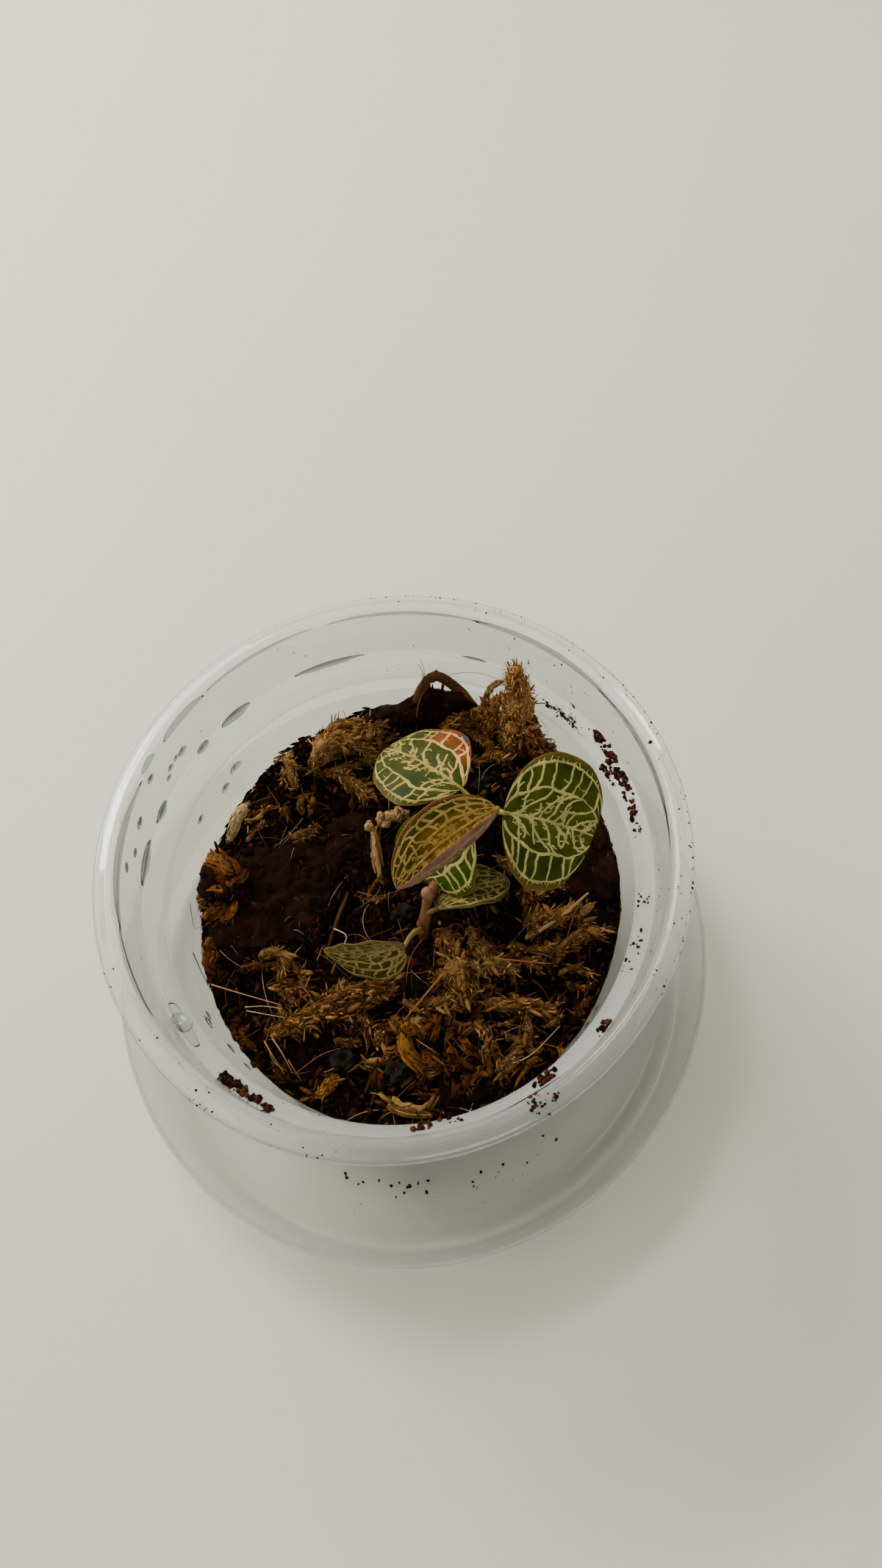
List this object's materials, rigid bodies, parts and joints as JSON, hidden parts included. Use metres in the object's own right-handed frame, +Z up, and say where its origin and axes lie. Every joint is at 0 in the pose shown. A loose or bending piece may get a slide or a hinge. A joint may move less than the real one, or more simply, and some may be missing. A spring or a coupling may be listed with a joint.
{
  "type": "potted jewel orchid",
  "caption": "Young jewel orchid with netted leaves, rooted in bark and moss mix in a clear stepped cup that stands in a clear saucer.",
  "frame": {"origin": "centre of the saucer's underside, on the table", "axes": "+Z up along the axis of the cup and saucer; the camera's side is -Y; the larger leaves lean towards +X"},
  "size_m": [0.1374, 0.1374, 0.0766],
  "materials": {
    "clear_plastic": "clear, glossy, thin moulded",
    "leaf": "soft satin leaf with a raised pale net of veins",
    "stem": "smooth fleshy, brown to pinkish",
    "moss": "dry fibrous",
    "bark": "rough, damp",
    "stone": "smooth grey-black stone",
    "growing_mix": "crumbly, damp, near black"
  },
  "bodies": {
    "root": {"saucer": "clear_plastic", "cup": "clear_plastic", "stem": "stem", "leaf_right": "leaf", "leaf_centre": "leaf", "leaf_upper_left": "leaf", "leaf_under": "leaf", "leaf_back": "leaf", "leaf_low": "leaf", "coir_fibre_left": "bark", "bark_stick_right": "bark", "moss_strand": "moss", "moss_curl_left": "moss", "moss_rope_back": "moss", "bark_sliver_back": "bark", "root_loop_back": "bark", "leaf_litter_back": "leaf", "husk_chip_left": "bark", "husk_chip_centre": "bark", "husk_chip_right": "bark", "bark_chunk_left": "bark", "bark_chunk_back": "bark", "gravel_front_left": "stone", "gravel_front": "stone", "gravel_back": "stone", "gravel_centre": "stone", "bark_curls": "bark", "moss_front": "moss", "moss_left": "moss", "moss_centre": "moss", "moss_right": "moss", "moss_middle": "moss", "moss_back_left": "moss", "moss_small_left": "moss", "moss_back_right": "moss", "mix": "growing_mix"}
  },
  "joints": []
}
